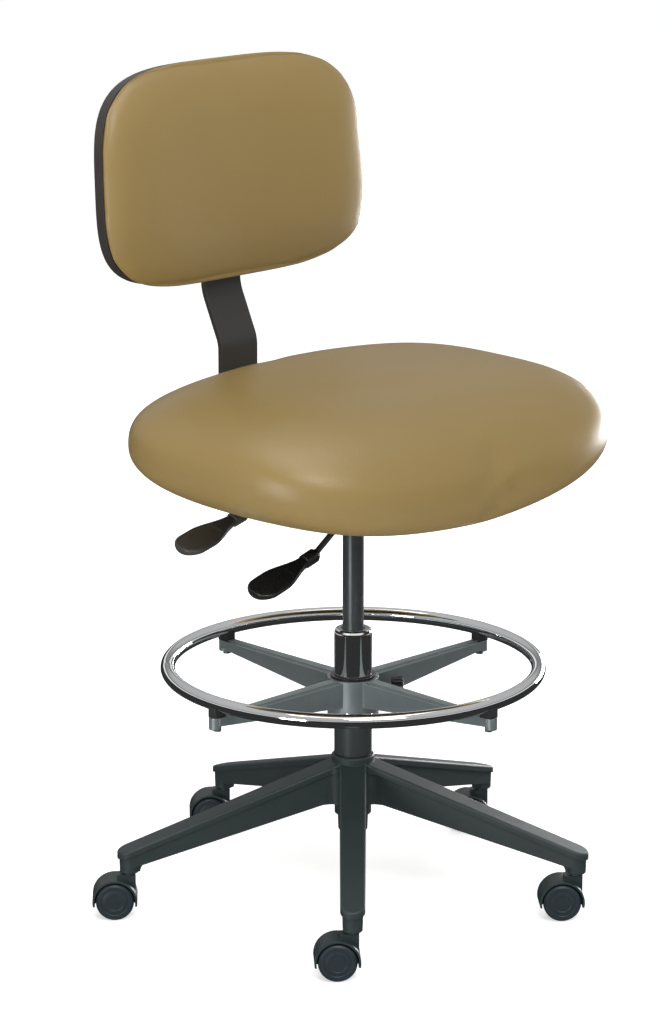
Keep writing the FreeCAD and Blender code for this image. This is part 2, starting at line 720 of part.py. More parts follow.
def make_mechanism():
    half, wall = housing_half_width, housing_wall
    housing_height = housing_top - housing_bottom
    outside = block(-half, half, housing_front, housing_rear, housing_bottom, housing_top)
    upright_edges = [e for e in outside.Edges if abs(e.BoundBox.ZLength - housing_height) < 0.01
                     and e.CenterOfMass.y < 0]
    outside = outside.makeFillet(8.0, upright_edges)
    inside = block(-half + wall, half - wall, housing_front + wall, housing_rear + 1,
                   housing_bottom - 1, housing_top - wall)
    channel = outside.cut(inside)
    hub = upright(socket_hub_radius, socket_hub_bottom, cylinder_top)
    bridge_low, bridge_high = housing_bottom + 4, housing_bottom + 8
    bridge = block(-half + wall, half - wall, -16, 16, bridge_low, bridge_high)
    lugs = []
    for y in (height_lever_y, back_lever_y):
        for side in (-1, 1):
            near = y + side * (lever_boss_half + body_gap)
            low, high = min(near, near + side * wall), max(near, near + side * wall)
            lugs.append(block(lever_pivot_x - 8, lever_pivot_x + 8, low, high,
                              lever_pivot_z - 7, housing_top - wall))
    housing = fused([channel, hub, bridge] + lugs)
    taper_bottom = cylinder_top - cylinder_taper_length
    lever_room = block(-half - 1, lever_pivot_x + 12, height_lever_y - lever_boss_half - body_gap,
                       height_lever_y + lever_boss_half + body_gap, housing_bottom - 1, lever_pivot_z)
    seat_of_cylinder = turned([(0, 500), (cylinder_radius, 500), (cylinder_radius, taper_bottom),
                               (cylinder_taper_top_radius, cylinder_top), (0, cylinder_top)])
    housing = housing.cut(seat_of_cylinder).cut(lever_room.cut(outside.cut(inside)))
    housing = housing.cut(lever_slot(height_lever_y, lever_pivot_z + 5))
    housing = housing.cut(lever_slot(back_lever_y, lever_pivot_z + 9))
    pins = [across(bar_pin_radius, -half - 3, half + 3, "x", 0, bar_pivot_y, bar_pivot_z)]
    for y in (height_lever_y, back_lever_y):
        reach = lever_boss_half + body_gap + wall + 1
        pins.append(across(lever_pin_radius, y - reach, y + reach, "y", lever_pivot_x, 0, lever_pivot_z))
    for pin in pins:
        housing = housing.cut(pin)
    put("mechanism_housing", housing)
    put("mechanism_pins", Part.makeCompound(pins))

    plate_top = housing_top + seat_plate_thickness
    plate = block(-seat_plate_width / 2, seat_plate_width / 2, -seat_plate_length / 2,
                  seat_plate_length / 2, housing_top, plate_top)
    corner_edges = [e for e in plate.Edges if abs(e.BoundBox.ZLength - seat_plate_thickness) < 0.01]
    plate = plate.makeFillet(12.0, corner_edges)
    bolts = []
    for x in (-seat_bolt_x, seat_bolt_x):
        for y in (-seat_bolt_y, seat_bolt_y):
            shank = upright(seat_bolt_radius, housing_top, seat_bottom + board_thickness - 2, x, y)
            head = upright(seat_bolt_radius * 1.8, housing_top - 4, housing_top, x, y)
            bolts.append(fused([shank, head]))
    put("seat_bolts", Part.makeCompound(bolts))
    for bolt in bolts:
        plate = plate.cut(bolt)
    put("seat_plate", plate)


# ---------------------------------------------------------------- seat
seat_bottom = housing_top + seat_plate_thickness


def cushion_section(share):
    """The cushion's closed cross-section at a share of its half depth, -1 front to 1 rear."""
    half_width = seat_half_width * (1 - abs(share) ** seat_exponent) ** (1 / seat_exponent)
    height = (1 - abs(share) ** seat_end_exponent) ** (1 / seat_end_exponent)
    drop = nose_drop * (max(0.0, -share - nose_start) / (1 - nose_start)) ** 2
    y = share * seat_half_depth - seat_forward
    middle = seat_middle - drop + seat_slope * y
    points = []
    for i in range(section_points):
        angle = 2 * math.pi * i / section_points
        c, s = math.cos(angle), math.sin(angle)
        exponent = seat_top_exponent if s > 0 else seat_belly_exponent
        deep = seat_crown if s > 0 else seat_belly
        x = half_width * math.copysign(abs(c) ** (2 / exponent), c)
        z = middle + deep * height * math.copysign(abs(s) ** (2 / exponent), s)
        points.append(vec(x, y, z))
    return closed_curve(points)


def seat_panel(half_width, half_depth, low, thickness):
    wire = superellipse(half_width, half_depth, seat_exponent, low, -seat_forward)
    return Part.Face(wire).extrude(vec(0, 0, thickness))


def make_seat():
    board_low = seat_bottom + dust_cover_thickness
    board = seat_panel(board_half_width, board_half_depth, board_low, board_thickness)
    cover = seat_panel(board_half_width + cover_margin, board_half_depth + cover_margin, seat_bottom,
                       dust_cover_thickness)
    half_shares = (0.12, 0.36, 0.58, 0.74, 0.86, 0.94, 0.98, 0.997)
    shares = [-share for share in reversed(half_shares)] + list(half_shares)
    cushion = Part.makeLoft([cushion_section(share) for share in shares], True)
    cover_room = seat_panel(board_half_width + cover_margin, board_half_depth + cover_margin,
                            seat_bottom - seat_belly, seat_belly + dust_cover_thickness)
    pocket = seat_panel(board_half_width, board_half_depth, seat_bottom,
                        board_low + board_thickness - seat_bottom)
    for bolt in nodes["seat_bolts"].Solids:
        board = board.cut(bolt)
        cover = cover.cut(bolt)
    put("seat_board", board)
    put("seat_dust_cover", cover)
    put("seat_cushion", cushion.cut(cover_room).cut(pocket))


# ---------------------------------------------------------------- levers
def rod_through(points, radius):
    """A round rod through points, with a ball at each bend."""
    pieces = []
    for a, b in zip(points, points[1:]):
        pieces.append(Part.makeCylinder(radius, (b - a).Length, a, b - a))
    pieces += [Part.makeSphere(radius, point) for point in points[1:-1]]
    return fused(pieces)


def paddle_solid():
    """A leaf-shaped grip along -X from the origin, flat in XY, with a thumb recess on top."""
    half, neck, length = paddle_half_width, paddle_neck_half, paddle_length
    socket = 26.0
    wide_at = length - half - 12.0
    upper = [vec(0, neck, 0), vec(-socket, neck, 0)]
    curve = Part.BezierCurve()
    curve.setPoles([vec(-socket, neck, 0), vec(-socket - 22, neck, 0), vec(-socket - 18, half, 0),
                    vec(-wide_at, half, 0)])
    tip_centre = -length + half
    front = Part.Arc(vec(tip_centre, half, 0), vec(-length, 0, 0), vec(tip_centre, -half, 0)).toShape()
    lower_curve = Part.BezierCurve()
    lower_curve.setPoles([vec(-wide_at, -half, 0), vec(-socket - 18, -half, 0), vec(-socket - 22, -neck, 0),
                          vec(-socket, -neck, 0)])
    edges = [Part.makeLine(upper[0], upper[1]), curve.toShape(),
             Part.makeLine(vec(-wide_at, half, 0), vec(tip_centre, half, 0)), front,
             Part.makeLine(vec(tip_centre, -half, 0), vec(-wide_at, -half, 0)), lower_curve.toShape(),
             Part.makeLine(vec(-socket, -neck, 0), vec(0, -neck, 0)),
             Part.makeLine(vec(0, -neck, 0), vec(0, neck, 0))]
    outline = Part.Wire(Part.__sortEdges__(edges))
    slab = Part.Face(outline).extrude(vec(0, 0, paddle_thickness))
    slab.translate(vec(0, 0, -paddle_thickness / 2))
    slab = slab.makeFillet(3.0, horizontal_edges(slab, paddle_thickness / 2)
                           + horizontal_edges(slab, -paddle_thickness / 2))
    recess_length, recess_half = 26.0, half - 6.0
    recess = Part.makeCylinder(recess_half, 4, vec(0, 0, 0))
    stretch = FreeCAD.Matrix()
    stretch.scale(recess_length / recess_half, 1, 1)
    recess = recess.transformGeometry(stretch)
    recess.translate(vec(-wide_at - 2, 0, paddle_thickness / 2 - 1.2))
    return slab.cut(recess)


def make_lever(name, y, bend, slope, tongue):
    pivot = vec(lever_pivot_x, y, lever_pivot_z)
    exit_point = vec(-housing_half_width - 2, y, lever_pivot_z - 10)
    neck = vec(bend[0], y, bend[1])
    down = vec(-math.cos(math.radians(slope)), 0, -math.sin(math.radians(slope)))
    inserted = neck + down * 18.0
    rod = rod_through([pivot, exit_point, neck, inserted], lever_rod_radius)
    boss = across(lever_boss_radius, y - lever_boss_half, y + lever_boss_half, "y", pivot.x, 0, pivot.z)
    pieces = [rod, boss]
    if tongue:
        top = pivot.z + lever_boss_radius
        boss_end = y + lever_boss_half
        pieces.append(block(pivot.x - 3, tongue_end, y - lever_boss_half, boss_end, top - 0.5, top + 2.5))
        pieces.append(block(-tongue_end, tongue_end, boss_end, tongue_end, top - 0.5, top + 2.5))
    else:
        pieces.append(across(lever_boss_radius + 1, y - lever_boss_half, y + lever_boss_half, "y",
                             pivot.x + 3, 0, pivot.z))
    rod = fused(pieces)
    rod = rod.cut(across(lever_pin_radius + running_clearance, y - 40, y + 40, "y", pivot.x, 0, pivot.z))
    paddle = paddle_solid()
    paddle.rotate(ORIGIN, vec(1, 0, 0), paddle_roll)
    paddle.rotate(ORIGIN, vec(0, 1, 0), -slope)
    paddle.translate(neck)
    put(f"{name}_rod", rod)
    put(f"{name}_paddle", paddle.cut(rod))


# ---------------------------------------------------------------- backrest
def back_frame(shape):
    """Put a shape drawn in the pad's own frame, Y to the rear and Z up the pad, in place."""
    copy = shape.copy()
    copy.rotate(ORIGIN, vec(1, 0, 0), -back_recline)
    copy.translate(vec(0, back_rear_y, back_centre_z))
    return copy


def back_point(y, z):
    """A point on X = 0 given in the pad's own frame."""
    lean = math.radians(back_recline)
    return vec(0, back_rear_y + y * math.cos(lean) + z * math.sin(lean),
               back_centre_z - y * math.sin(lean) + z * math.cos(lean))


def back_outline(inset):
    """A prism along Y of the pad's outline."""
    wire = superellipse(back_half_width - inset, back_half_height - inset, back_exponent, 0, 0, back_taper)
    face = Part.Face(wire)
    face.rotate(ORIGIN, vec(1, 0, 0), 90)
    face.translate(vec(0, 120, 0))
    return face.extrude(vec(0, -300, 0))


def curved_slab(rear, front):
    """What lies between two depths measured forward from the shell's rear face."""
    middle = vec(0, -back_curve_radius, -300)
    outer = Part.makeCylinder(back_curve_radius - rear, 600, middle)
    inner = Part.makeCylinder(back_curve_radius - front, 600, middle)
    near = block(-400, 400, -300, 200, -300, 300)
    return outer.cut(inner).common(near)


def pad_section(share):
    """The pad's closed cross-section at a share of its half width, in the pad's own frame."""
    inset = shell_rim_wall + body_gap
    half_width = back_half_width - inset
    half_height = (back_half_height - inset) * (1 - abs(share) ** back_exponent) ** (1 / back_exponent)
    into_round = max(0.0, abs(share) - 1 + back_end_round / half_width) * half_width
    height = math.sqrt(1 - (into_round / back_end_round) ** 2)
    across_pad = share * half_width
    rim = shell_rim_depth + across_pad ** 2 / (2 * back_curve_radius)
    points = []
    for i in range(section_points):
        angle = 2 * math.pi * i / section_points
        c, s = math.cos(angle), math.sin(angle)
        forward = (back_thickness - shell_rim_depth) * height * math.copysign(abs(s) ** (2 / 2.6), s)
        up = half_height * math.copysign(abs(c) ** (2 / 2.6), c)
        x = across_pad * (1 - back_taper * up / back_half_height)
        points.append(vec(x, -rim - forward, up))
    return closed_curve(points)


def make_bar():
    gap_to_shell = bracket_wall + body_gap + bar_thickness / 2
    lower = vec(0, bar_back_y, bar_pivot_z)
    bend = vec(0, bar_back_y, bar_bend_z)
    low_z = (bar_lean_top - back_centre_z) / math.cos(math.radians(back_recline))
    upper = back_point(gap_to_shell, low_z)
    top = back_point(gap_to_shell, (bar_top - back_centre_z) / math.cos(math.radians(back_recline)))
    start = vec(0, bar_pivot_y, bar_pivot_z)
    strip = bent_strip([start, lower, bend, upper, top], [26.0, 40.0, 60.0], bar_thickness, bar_width)
    knuckle = across(bar_knuckle_radius, -bar_width / 2, bar_width / 2, "x", 0, bar_pivot_y, bar_pivot_z)
    bar = fused([strip, knuckle])
    bore = across(bar_pin_radius + running_clearance, -60, 60, "x", 0, bar_pivot_y, bar_pivot_z)
    put("back_bar", bar.cut(bore))


def dropped(shape):
    """Move a shape from the pad's middle to the bracket's."""
    return moved(shape, 0, 0, -bracket_drop)


def make_back():
    shell = back_outline(0).common(curved_slab(0, shell_rim_depth))
    shell = shell.cut(back_outline(shell_rim_wall).common(curved_slab(shell_wall, shell_rim_depth + 1)))
    shares = (-0.985, -0.94, -0.86, -0.72, -0.5, -0.25, 0.0, 0.25, 0.5, 0.72, 0.86, 0.94, 0.985)
    pad = Part.makeLoft([pad_section(share) for share in shares], True)
    pad = pad.common(curved_slab(shell_wall, 3 * back_thickness))

    gap = body_gap
    bar_front = bracket_wall + gap
    bar_rear = bar_front + bar_thickness
    half = bracket_half_height
    outer_half = bar_width / 2 + bracket_channel_wall
    rear_face = bar_rear + gap + bracket_channel_wall
    outside = block(-outer_half, outer_half, 0, rear_face, -half, half)
    flange = block(-bracket_flange_half, bracket_flange_half, 0, bracket_wall, -half, half)
    room = block(-bar_width / 2 - gap, bar_width / 2 + gap, bracket_wall, bar_rear + gap, -half - 1, half + 1)
    knob_hole = across(back_stud_radius + running_clearance, 0, 60, "y")
    bracket = fused([outside, flange]).cut(room).cut(knob_hole.cut(block(-20, 20, -1, bar_front, -20, 20)))
    screws = []
    for x in (-bracket_screw_x, bracket_screw_x):
        for z in (-bracket_screw_z, bracket_screw_z):
            shank = across(bracket_screw_radius, -shell_wall - 10, bracket_wall, "y", x, 0, z)
            head = across(bracket_screw_radius * 1.9, bracket_wall, bracket_wall + 3, "y", x, 0, z)
            screws.append(fused([shank, head]))
    knob_start = rear_face + gap
    knob = spun(ribbed_knob(back_knob_radius, back_knob_width), 90)
    stud = across(back_stud_radius, bar_rear + gap, knob_start + 1, "y")
    knob = fused([moved(knob, 0, knob_start, 0), stud])

    for screw in screws:
        bracket = bracket.cut(screw)
        shell = shell.cut(dropped(screw))
        pad = pad.cut(dropped(screw))
    put("back_shell", back_frame(shell))
    put("back_cushion", back_frame(pad.cut(shell)))
    put("back_bracket", back_frame(dropped(bracket)))
    put("back_screws", back_frame(dropped(Part.makeCompound(screws))))
    put("back_knob", back_frame(dropped(knob)))


make_base()
make_casters()
make_column()
make_footring()
make_mechanism()
make_seat()
make_lever("height_lever", height_lever_y, height_lever_bend, height_paddle_slope, True)
make_lever("back_lever", back_lever_y, back_lever_bend, back_paddle_slope, False)
make_bar()
make_back()

os.makedirs("parts", exist_ok=True)
for name, shape in nodes.items():
    if not shape.isValid():
        print("not valid:", name)
    shape.exportStep(f"parts/{name}.step")
print(len(nodes), "nodes written")
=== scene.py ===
import json
import math

import bmesh
import bpy
from mathutils import Matrix, Vector


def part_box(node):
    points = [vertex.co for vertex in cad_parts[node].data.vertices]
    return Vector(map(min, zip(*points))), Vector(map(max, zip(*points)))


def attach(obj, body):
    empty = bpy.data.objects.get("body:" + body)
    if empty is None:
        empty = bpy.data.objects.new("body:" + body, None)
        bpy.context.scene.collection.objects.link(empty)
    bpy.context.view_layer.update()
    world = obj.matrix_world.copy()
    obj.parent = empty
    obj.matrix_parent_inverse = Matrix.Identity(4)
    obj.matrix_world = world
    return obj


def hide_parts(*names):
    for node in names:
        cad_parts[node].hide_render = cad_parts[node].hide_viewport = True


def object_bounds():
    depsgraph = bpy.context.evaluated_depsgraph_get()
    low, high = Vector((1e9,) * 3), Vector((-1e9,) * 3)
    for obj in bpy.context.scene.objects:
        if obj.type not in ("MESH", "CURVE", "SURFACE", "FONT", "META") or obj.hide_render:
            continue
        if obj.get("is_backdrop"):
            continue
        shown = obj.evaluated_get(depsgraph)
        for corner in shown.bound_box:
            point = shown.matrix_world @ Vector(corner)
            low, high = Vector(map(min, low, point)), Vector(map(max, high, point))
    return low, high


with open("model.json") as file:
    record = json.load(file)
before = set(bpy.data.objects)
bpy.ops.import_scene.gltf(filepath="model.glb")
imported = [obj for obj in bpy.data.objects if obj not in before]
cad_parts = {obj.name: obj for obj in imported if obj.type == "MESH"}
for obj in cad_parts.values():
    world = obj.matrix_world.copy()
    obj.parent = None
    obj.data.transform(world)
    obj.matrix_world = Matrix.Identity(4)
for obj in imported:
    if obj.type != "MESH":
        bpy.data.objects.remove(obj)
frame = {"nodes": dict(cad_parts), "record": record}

lowest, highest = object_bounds()
bpy.ops.object.select_all(action="DESELECT")
slotOfNode = {part["node"]: part["material_slot"] for part in frame["record"]["subparts"]}
bodyOfNode = {node: body for body, nodes in frame["record"]["behaviour"]["bodies"].items() for node in nodes}


# camera: level heading 45.6 degrees to the right of straight ahead, tipped down
cameraLook = {"place": (-3.228, -3.117, 1.680), "heading": 45.638, "tip": 14.448, "lens": 124.82}
cameraData = bpy.data.cameras.new("camera")
cameraData.lens = cameraLook["lens"]
cameraData.sensor_width = 36.0
cameraData.clip_end = 60.0
camera = bpy.data.objects.new("camera", cameraData)
bpy.context.scene.collection.objects.link(camera)
camera.location = cameraLook["place"]
camera.rotation_euler = (math.radians(90.0 - cameraLook["tip"]), 0.0, math.radians(-cameraLook["heading"]))
bpy.context.scene.camera = camera
print("camera set")


# finishes, one dictionary each: colours are linear, scales are per metre, depths in metres
# a finish's edge lightening factor sets the colour of a painted highlight along its edges
finishes = {
    "tanVinyl": {"base": (0.236, 0.162, 0.054), "second": (0.222, 0.151, 0.050), "patch": 9.0,
                 "rough": 0.36, "roughSpread": 0.03, "grain": 950.0, "cells": True, "depth": 0.00022,
                 "specular": 0.50},
    "baseNylon": {"base": (0.017, 0.027, 0.028), "second": (0.022, 0.033, 0.034), "patch": 14.0,
                  "rough": 0.50, "roughSpread": 0.08, "grain": 1700.0, "depth": 0.00016, "edge": 0.0012,
                  "wear": 1.5},
    "casterNylon": {"base": (0.017, 0.027, 0.028), "second": (0.021, 0.032, 0.033), "patch": 30.0,
                    "rough": 0.44, "roughSpread": 0.08, "grain": 1900.0, "depth": 0.00012, "edge": 0.0008,
                    "wear": 1.4},
    "wheelNylon": {"base": (0.013, 0.022, 0.028), "second": (0.018, 0.028, 0.034), "patch": 40.0,
                   "rough": 0.36, "roughSpread": 0.10, "grain": 900.0, "depth": 0.00008, "edge": 0.0006,
                   "wear": 1.3},
    "columnPaint": {"base": (0.065, 0.075, 0.075), "second": (0.055, 0.065, 0.066), "patch": 20.0,
                    "rough": 0.34, "roughSpread": 0.06, "metal": 0.55, "grain": 1500.0, "depth": 0.00006,
                    "edge": 0.0006, "wear": 1.3},
    "chrome": {"base": (0.80, 0.81, 0.82), "second": (0.74, 0.75, 0.76), "patch": 18.0,
               "rough": 0.06, "roughSpread": 0.04, "metal": 1.0, "grain": 120.0, "depth": 0.00002},
    "cylinderSteel": {"base": (0.180, 0.198, 0.205), "second": (0.150, 0.166, 0.172), "patch": 25.0,
                      "rough": 0.30, "roughSpread": 0.07, "metal": 0.85, "grain": 900.0, "depth": 0.00003,
                      "stretch": (1.0, 1.0, 0.05)},
    "polishedSteel": {"base": (0.62, 0.62, 0.61), "second": (0.55, 0.55, 0.54), "patch": 30.0,
                      "rough": 0.14, "roughSpread": 0.06, "metal": 1.0, "grain": 800.0, "depth": 0.00002},
    "zincSteel": {"base": (0.50, 0.51, 0.50), "second": (0.40, 0.41, 0.41), "patch": 160.0,
                  "rough": 0.30, "roughSpread": 0.12, "metal": 1.0, "grain": 900.0, "depth": 0.00005,
                  "edge": 0.0004},
    "castAluminium": {"base": (0.36, 0.41, 0.42), "second": (0.29, 0.33, 0.34), "patch": 45.0,
                      "rough": 0.42, "roughSpread": 0.12, "metal": 0.80, "grain": 1300.0, "depth": 0.00025,
                      "edge": 0.0010, "wear": 1.5},
    "blackPlastic": {"base": (0.010, 0.010, 0.010), "second": (0.014, 0.014, 0.014), "patch": 30.0,
                     "rough": 0.28, "roughSpread": 0.10, "grain": 1600.0, "depth": 0.00006, "edge": 0.0006,
                     "wear": 1.6},
    "greyPlastic": {"base": (0.040, 0.038, 0.036), "second": (0.047, 0.045, 0.043), "patch": 30.0,
                    "rough": 0.42, "roughSpread": 0.10, "grain": 1600.0, "depth": 0.00010, "edge": 0.0006,
                    "wear": 1.4},
    "rubberPad": {"base": (0.013, 0.013, 0.014), "second": (0.020, 0.020, 0.020), "patch": 60.0,
                  "rough": 0.72, "roughSpread": 0.10, "grain": 1200.0, "depth": 0.00015, "edge": 0.0008},
    "blackSteel": {"base": (0.040, 0.037, 0.035), "second": (0.032, 0.030, 0.028), "patch": 16.0,
                   "rough": 0.40, "roughSpread": 0.08, "metal": 0.25, "grain": 1400.0, "depth": 0.00012,
                   "edge": 0.0009, "wear": 1.8, "coat": 0.15, "coatRough": 0.25},
    "plywood": {"base": (0.43, 0.27, 0.13), "second": (0.30, 0.17, 0.07), "patch": 30.0,
                "rough": 0.60, "roughSpread": 0.10, "grain": 260.0, "depth": 0.0003, "plies": 0.0017},
    "blackCloth": {"base": (0.012, 0.012, 0.013), "second": (0.022, 0.022, 0.023), "patch": 70.0,
                   "rough": 0.90, "roughSpread": 0.05, "weave": 0.0012, "depth": 0.0003, "sheen": 0.3},
    "shellPlastic": {"base": (0.030, 0.024, 0.022), "second": (0.038, 0.031, 0.028), "patch": 22.0,
                     "rough": 0.38, "roughSpread": 0.08, "grain": 1500.0, "depth": 0.00014, "edge": 0.0012,
                     "wear": 1.6},
}


def valueRange(nodes, links, source, low, high):
    remap = nodes.new("ShaderNodeMapRange")
    remap.inputs["To Min"].default_value = low
    remap.inputs["To Max"].default_value = high
    links.new(source, remap.inputs["Value"])
    return remap.outputs["Result"]


def mixed(nodes, links, factor, first, second, blend="MIX"):
    mix = nodes.new("ShaderNodeMix")
    mix.data_type = "RGBA"
    mix.blend_type = blend
    if isinstance(factor, float):
        mix.inputs["Factor"].default_value = factor
    else:
        links.new(factor, mix.inputs["Factor"])
    for socket, colour in (("A", first), ("B", second)):
        target = [s for s in mix.inputs if s.name == socket and s.type == "RGBA"][0]
        if isinstance(colour, tuple):
            target.default_value = (*colour, 1.0)
        else:
            links.new(colour, target)
    return [s for s in mix.outputs if s.type == "RGBA"][0]


# what the finishes share
# the edge lightening entries set where the painted edge highlight starts and how strong it gets
grainLook = {"patchDetail": 5.0, "grainDetail": 3.0, "cellSoftness": 0.6, "creaseLow": 0.94,
             "creaseHigh": 1.06, "creaseShare": 0.6, "waveRepeat": 0.314, "threadWander": 0.6,
             "threadDetail": 40.0, "plyWander": 0.4, "bump": 0.8, "bevelSamples": 4,
             "wearFrom": 1.0, "wearTo": 0.90, "wearMost": 0.8}


def makeFinish(name, look):
    material = bpy.data.materials.new(name)
    material.use_nodes = True
    nodes, links = material.node_tree.nodes, material.node_tree.links
    shader = nodes["Principled BSDF"]
    place = nodes.new("ShaderNodeTexCoord").outputs["Object"]
    if "stretch" in look:
        mapping = nodes.new("ShaderNodeMapping")
        mapping.inputs["Scale"].default_value = look["stretch"]
        links.new(place, mapping.inputs["Vector"])
        place = mapping.outputs["Vector"]

    patch = nodes.new("ShaderNodeTexNoise")
    patch.inputs["Scale"].default_value = look["patch"]
    patch.inputs["Detail"].default_value = grainLook["patchDetail"]
    links.new(place, patch.inputs["Vector"])
    colour = mixed(nodes, links, patch.outputs["Fac"], look["base"], look["second"])
    roughness = valueRange(nodes, links, patch.outputs["Fac"], look["rough"] - look["roughSpread"],
                           look["rough"] + look["roughSpread"])

    height = None
    if look.get("cells"):       # pebbled leather grain: rounded cells with creases between them
        cells = nodes.new("ShaderNodeTexVoronoi")
        cells.feature = "SMOOTH_F1"
        cells.inputs["Scale"].default_value = look["grain"]
        cells.inputs["Smoothness"].default_value = grainLook["cellSoftness"]
        links.new(place, cells.inputs["Vector"])
        height = valueRange(nodes, links, cells.outputs["Distance"], 1.0, 0.0)
        crease = valueRange(nodes, links, cells.outputs["Distance"], grainLook["creaseLow"],
                            grainLook["creaseHigh"])
        colour = mixed(nodes, links, grainLook["creaseShare"], colour, crease, "MULTIPLY")
    elif "weave" in look:       # two crossing sets of threads
        threads = []
        for direction in ("X", "Y"):
            wave = nodes.new("ShaderNodeTexWave")
            wave.bands_direction = direction
            wave.inputs["Scale"].default_value = grainLook["waveRepeat"] / look["weave"]
            wave.inputs["Distortion"].default_value = grainLook["threadWander"]
            wave.inputs["Detail Scale"].default_value = grainLook["threadDetail"]
            links.new(place, wave.inputs["Vector"])
            threads.append(wave.outputs["Fac"])
        crossing = nodes.new("ShaderNodeMath")
        crossing.operation = "MULTIPLY"
        links.new(threads[0], crossing.inputs[0])
        links.new(threads[1], crossing.inputs[1])
        height = crossing.outputs["Value"]
    else:
        grain = nodes.new("ShaderNodeTexNoise")
        grain.inputs["Scale"].default_value = look["grain"]
        grain.inputs["Detail"].default_value = grainLook["grainDetail"]
        links.new(place, grain.inputs["Vector"])
        height = grain.outputs["Fac"]
    if "plies" in look:         # light and dark veneers, and growth rings along the faces
        split = nodes.new("ShaderNodeTexWave")
        split.bands_direction = "Z"
        split.inputs["Scale"].default_value = grainLook["waveRepeat"] / look["plies"]
        split.inputs["Distortion"].default_value = grainLook["plyWander"]
        links.new(place, split.inputs["Vector"])
        colour = mixed(nodes, links, split.outputs["Fac"], look["second"], colour)

    bump = nodes.new("ShaderNodeBump")
    bump.inputs["Strength"].default_value = grainLook["bump"]
    bump.inputs["Distance"].default_value = look["depth"]
    links.new(height, bump.inputs["Height"])
    if "edge" in look:          # edges broken to a small radius, with a painted highlight lightening the colour along every edge
        rounding = nodes.new("ShaderNodeBevel")
        rounding.samples = grainLook["bevelSamples"]
        rounding.inputs["Radius"].default_value = look["edge"]
        links.new(rounding.outputs["Normal"], bump.inputs["Normal"])
        # painted highlight: the colour turns lighter wherever the rounded normal leans away from the flat
        # one, that is along every edge
        if "wear" in look:
            plain = nodes.new("ShaderNodeNewGeometry")
            turn = nodes.new("ShaderNodeVectorMath")
            turn.operation = "DOT_PRODUCT"
            links.new(rounding.outputs["Normal"], turn.inputs[0])
            links.new(plain.outputs["Normal"], turn.inputs[1])
            highlightShare = nodes.new("ShaderNodeMapRange")
            highlightShare.inputs["From Min"].default_value = grainLook["wearFrom"]
            highlightShare.inputs["From Max"].default_value = grainLook["wearTo"]
            highlightShare.inputs["To Max"].default_value = grainLook["wearMost"]
            links.new(turn.outputs["Value"], highlightShare.inputs["Value"])
            highlightColour = tuple(min(1.0, c * look["wear"]) for c in look["base"])
            colour = mixed(nodes, links, highlightShare.outputs["Result"], colour, highlightColour)
    links.new(bump.outputs["Normal"], shader.inputs["Normal"])
    links.new(colour, shader.inputs["Base Color"])
    links.new(roughness, shader.inputs["Roughness"])
    shader.inputs["Metallic"].default_value = look.get("metal", 0.0)
    shader.inputs["Coat Weight"].default_value = look.get("coat", 0.0)
    shader.inputs["Coat Roughness"].default_value = look.get("coatRough", 0.1)
    shader.inputs["Sheen Weight"].default_value = look.get("sheen", 0.0)
    shader.inputs["Specular IOR Level"].default_value = look.get("specular", 0.5)
    return material


materials = {name: makeFinish(name, look) for name, look in finishes.items()}


def finishFor(slot):            # "tan_vinyl" in the record is "tanVinyl" here
    first, *rest = slot.split("_")
    return materials[first + "".join(word.capitalize() for word in rest)]


for nodeName, node in frame["nodes"].items():
    for index in range(max(1, len(node.material_slots))):
        if not node.material_slots:
            node.data.materials.append(None)
        node.material_slots[index].material = finishFor(slotOfNode[nodeName])
print("finishes made")


def pick(piece):
    bpy.ops.object.select_all(action="DESELECT")
    piece.select_set(True)
    bpy.context.view_layer.objects.active = piece


def apply(piece, *names):
    pick(piece)
    for name in names or [m.name for m in piece.modifiers]:
        bpy.ops.object.modifier_apply(modifier=name)


def settle(piece):              # the place goes into the mesh, and the object back to the origin
    pick(piece)
    bpy.ops.object.transform_apply(location=True, rotation=True, scale=True)


def smooth(piece, angle=35.0):
    pick(piece)
    bpy.ops.object.shade_smooth_by_angle(angle=math.radians(angle))


def finishPiece(piece, name, body, slot, *nodeNames):
    piece.name = name
    piece.data.name = name
    piece.data.materials.clear()
    piece.data.materials.append(finishFor(slot))
    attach(piece, body)
    if nodeNames:
        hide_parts(*nodeNames)
    return piece


def selectFaces(piece, wanted):
    bpy.ops.mesh.select_all(action="DESELECT")
    mesh = bmesh.from_edit_mesh(piece.data)
    for face in [face for face in mesh.faces if wanted(face)]:
        face.select_set(True)
    bmesh.update_edit_mesh(piece.data)


def easing(x, low, high):
    share = min(1.0, max(0.0, (x - low) / (high - low)))
    return share * share * (3.0 - 2.0 * share)


# cushions: an even quad ball drawn out to the foam's shape, then stuffed as cloth
def quadBall(cuts):
    bpy.ops.mesh.primitive_cube_add(size=2.0)
    ball = bpy.context.active_object
    bpy.ops.object.mode_set(mode="EDIT")
    bpy.ops.mesh.select_all(action="SELECT")
    bpy.ops.mesh.subdivide(number_cuts=cuts)
    bpy.ops.object.mode_set(mode="OBJECT")
    for vertex in ball.data.vertices:
        point = Vector(math.tan(c * math.pi / 4) for c in vertex.co)
        vertex.co = point.normalized()
    return ball


stuffingLook = {"quality": 5, "mass": 0.3, "shearShare": 3, "easing": 0.5}


